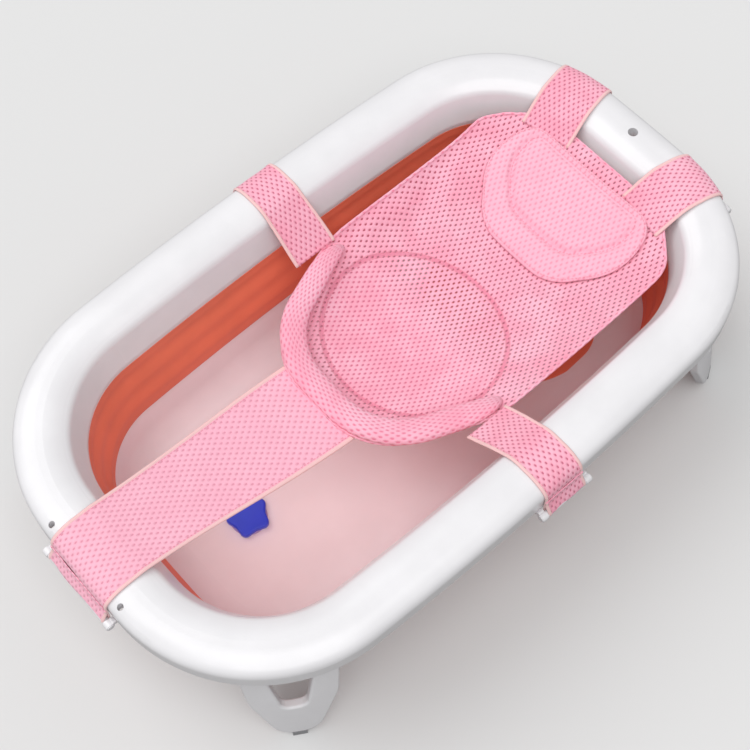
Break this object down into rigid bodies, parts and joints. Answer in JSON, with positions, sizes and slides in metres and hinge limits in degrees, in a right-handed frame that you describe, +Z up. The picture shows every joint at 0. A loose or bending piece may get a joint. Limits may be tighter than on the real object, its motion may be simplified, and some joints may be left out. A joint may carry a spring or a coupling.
{
  "type": "baby bathtub",
  "caption": "Folding baby bathtub: a rounded rim over a collapsible rubber wall and basin, on hinged loop legs, with a drain plug and a strapped mesh bath net with pillow.",
  "frame": {"origin": "centre of the tub's plan, on the floor it stands on", "axes": "+X along the tub towards the head end, +Y to the far long side, +Z up"},
  "size_m": [0.8492, 0.5262, 0.2171],
  "materials": {
    "shell_white": "glossy injection-moulded polypropylene",
    "rubber_coral": "satin thermoplastic rubber",
    "basin_blush": "semi-gloss polypropylene, faintly translucent",
    "plug_blue": "soft-touch silicone",
    "seal_lilac": "translucent silicone",
    "leg_white": "satin polypropylene",
    "pin_steel": "plain steel rod",
    "foot_grey": "matt rubber",
    "net_pink": "knitted polyester mesh",
    "pillow_pink": "padded polyester mesh",
    "hook_white": "glossy moulded plastic"
  },
  "bodies": {
    "rim_body": {"rim": "shell_white", "wall_band": "rubber_coral", "net_seat": "net_pink", "net_roll": "net_pink", "net_pillow": "pillow_pink", "strap_foot": "net_pink", "strap_side_near": "net_pink", "strap_side_far": "net_pink", "strap_head_near": "net_pink", "strap_head_far": "net_pink"},
    "basin_body": {"basin": "basin_blush", "floor_pad": "rubber_coral"},
    "plug_body": {"drain_plug": "plug_blue", "plug_seal": "seal_lilac"},
    "leg_head_far_body": {"leg_head_far": "leg_white", "leg_pin_head_far": "pin_steel", "foot_pad_head_far": "foot_grey"},
    "leg_foot_far_body": {"leg_foot_far": "leg_white", "leg_pin_foot_far": "pin_steel", "foot_pad_foot_far": "foot_grey"},
    "leg_foot_near_body": {"leg_foot_near": "leg_white", "leg_pin_foot_near": "pin_steel", "foot_pad_foot_near": "foot_grey"},
    "leg_head_near_body": {"leg_head_near": "leg_white", "leg_pin_head_near": "pin_steel", "foot_pad_head_near": "foot_grey"},
    "hook_foot_body": {"strap_hem_foot": "net_pink", "hook_bar_foot": "hook_white"},
    "hook_side_near_body": {"strap_hem_side_near": "net_pink", "hook_bar_side_near": "hook_white"},
    "hook_side_far_body": {"strap_hem_side_far": "net_pink", "hook_bar_side_far": "hook_white"},
    "hook_head_near_body": {"strap_hem_head_near": "net_pink", "hook_bar_head_near": "hook_white"},
    "hook_head_far_body": {"strap_hem_head_far": "net_pink", "hook_bar_head_far": "hook_white"}
  },
  "joints": [
    {"name": "collapse", "type": "slide", "parent": "rim_body", "child": "basin_body", "axis": [0, 0, 1], "range_m": [0, 0.105], "deforming": ["wall_band"]},
    {"name": "plug_lift", "type": "slide", "parent": "basin_body", "child": "plug_body", "axis": [0, 0, 1], "range_m": [0, 0.02]},
    {"name": "leg_fold_head_far", "type": "hinge", "parent": "rim_body", "child": "leg_head_far_body", "pos_m": [0.30666, 0.19214, 0.167], "axis": [-0.848, 0.5299, 0], "range_deg": [0, 62]},
    {"name": "leg_fold_foot_far", "type": "hinge", "parent": "rim_body", "child": "leg_foot_far_body", "pos_m": [-0.30666, 0.19214, 0.167], "axis": [-0.848, -0.5299, 0], "range_deg": [0, 62]},
    {"name": "leg_fold_foot_near", "type": "hinge", "parent": "rim_body", "child": "leg_foot_near_body", "pos_m": [-0.30666, -0.19214, 0.167], "axis": [0.848, -0.5299, 0], "range_deg": [0, 62]},
    {"name": "leg_fold_head_near", "type": "hinge", "parent": "rim_body", "child": "leg_head_near_body", "pos_m": [0.30666, -0.19214, 0.167], "axis": [0.848, 0.5299, 0], "range_deg": [0, 62]},
    {"name": "unhook_foot", "type": "hinge", "parent": "rim_body", "child": "hook_foot_body", "pos_m": [-0.38, 0, 0.2171], "axis": [0, 1, 0], "range_deg": [0, 60]},
    {"name": "unhook_side_near", "type": "hinge", "parent": "rim_body", "child": "hook_side_near_body", "pos_m": [0.017, -0.22, 0.2171], "axis": [-1, 0, 0], "range_deg": [0, 60]},
    {"name": "unhook_side_far", "type": "hinge", "parent": "rim_body", "child": "hook_side_far_body", "pos_m": [0.017, 0.22, 0.2171], "axis": [1, 0, 0], "range_deg": [0, 60]},
    {"name": "unhook_head_near", "type": "hinge", "parent": "rim_body", "child": "hook_head_near_body", "pos_m": [0.37652, -0.08726, 0.2171], "axis": [-0.1908, -0.9816, 0], "range_deg": [0, 60]},
    {"name": "unhook_head_far", "type": "hinge", "parent": "rim_body", "child": "hook_head_far_body", "pos_m": [0.37652, 0.08726, 0.2171], "axis": [0.1908, -0.9816, 0], "range_deg": [0, 60]}
  ],
  "couplings": [
    {"joint": "leg_fold_head_far", "follows": "collapse", "rad_per_m": 10.306},
    {"joint": "leg_fold_foot_far", "follows": "collapse", "rad_per_m": 10.306},
    {"joint": "leg_fold_foot_near", "follows": "collapse", "rad_per_m": 10.306},
    {"joint": "leg_fold_head_near", "follows": "collapse", "rad_per_m": 10.306}
  ]
}
